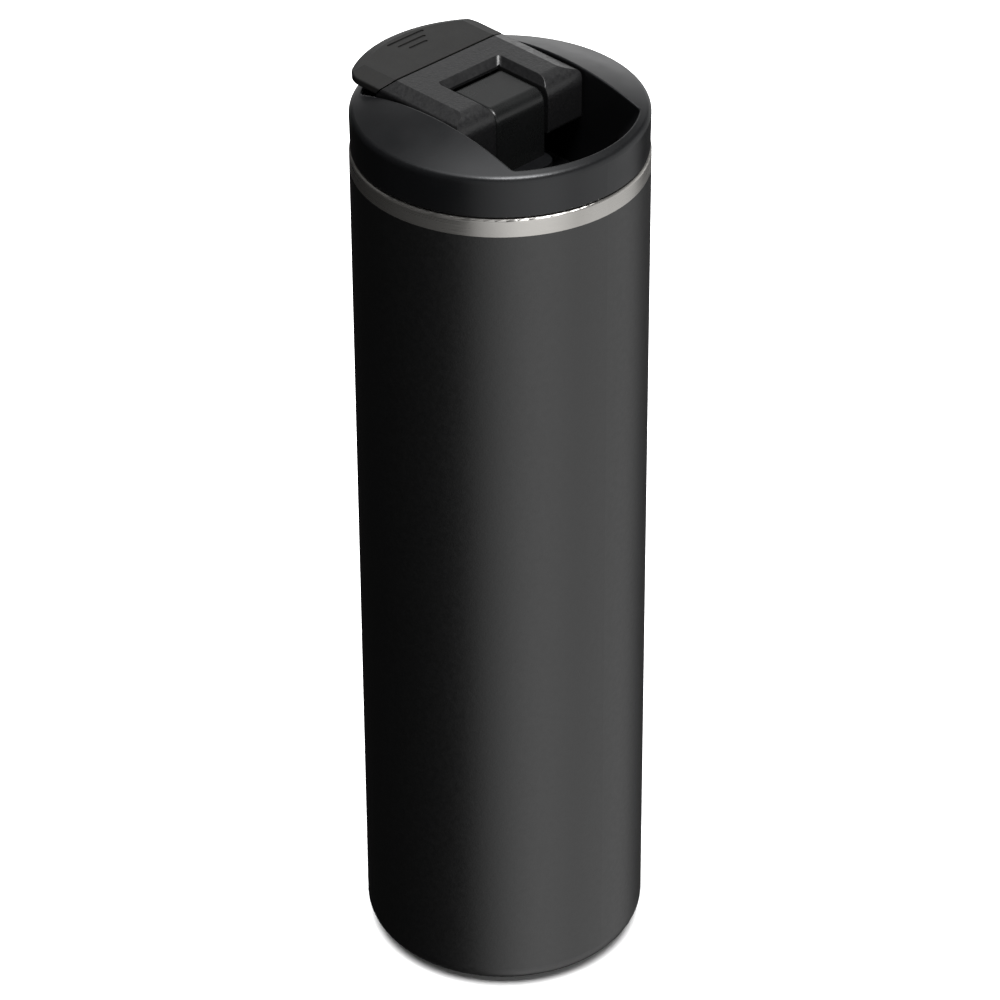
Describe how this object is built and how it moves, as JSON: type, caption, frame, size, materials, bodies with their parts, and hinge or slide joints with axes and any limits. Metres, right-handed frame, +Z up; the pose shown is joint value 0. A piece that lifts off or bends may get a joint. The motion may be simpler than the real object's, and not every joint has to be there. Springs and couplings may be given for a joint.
{
  "type": "insulated travel mug",
  "caption": "Tall straight vacuum-walled drinking bottle with a lift-off lid and a flip flap that closes its drink hole.",
  "frame": {"origin": "centre of the foot ring's lower face, on the bottle's axis", "axes": "+Z up along the bottle's axis; the drink hole and the thumb tab are towards -X, the hinge side is towards +X, and the hinge pin is parallel to Y"},
  "size_m": [0.0744, 0.073, 0.2484],
  "materials": {
    "powder_coat": "matte, fine-textured powder coat",
    "brushed_steel": "brushed round the axis",
    "plain_steel": "satin",
    "getter_metal": "sintered, grey",
    "lid_plastic": "satin moulded",
    "flap_plastic": "finely textured",
    "block_plastic": "smooth satin",
    "tab_rubber": "soft touch, matte",
    "plug_plastic": "satin moulded",
    "bush_plastic": "plain bearing plastic, dark grey",
    "silicone": "food-safe silicone, grey",
    "foot_silicone": "matte"
  },
  "bodies": {
    "bottle": {"outer_shell": "powder_coat", "inner_flask": "brushed_steel", "base_plate": "plain_steel", "foot_ring": "foot_silicone", "getter": "getter_metal", "vacuum_seal": "plain_steel"},
    "lid": {"lid_shell": "lid_plastic", "lid_plug": "plug_plastic", "lid_gasket": "silicone", "hinge_block": "block_plastic", "block_gasket": "silicone", "block_screws": "plain_steel", "hinge_pin": "plain_steel", "hinge_washers": "bush_plastic"},
    "flap": {"flap_frame": "flap_plastic", "flap_tab": "tab_rubber", "hinge_bushes": "bush_plastic", "stopper_carrier": "plug_plastic", "spout_stopper": "silicone", "vent_stopper": "silicone"}
  },
  "joints": [
    {"name": "lid_lift", "type": "slide", "parent": "bottle", "child": "lid", "axis": [0, 0, 1], "range_m": [0, 0.06]},
    {"name": "flap_hinge", "type": "hinge", "parent": "lid", "child": "flap", "pos_m": [0.0035, 0, 0.2395], "axis": [0, 1, 0], "range_deg": [0, 110]}
  ]
}
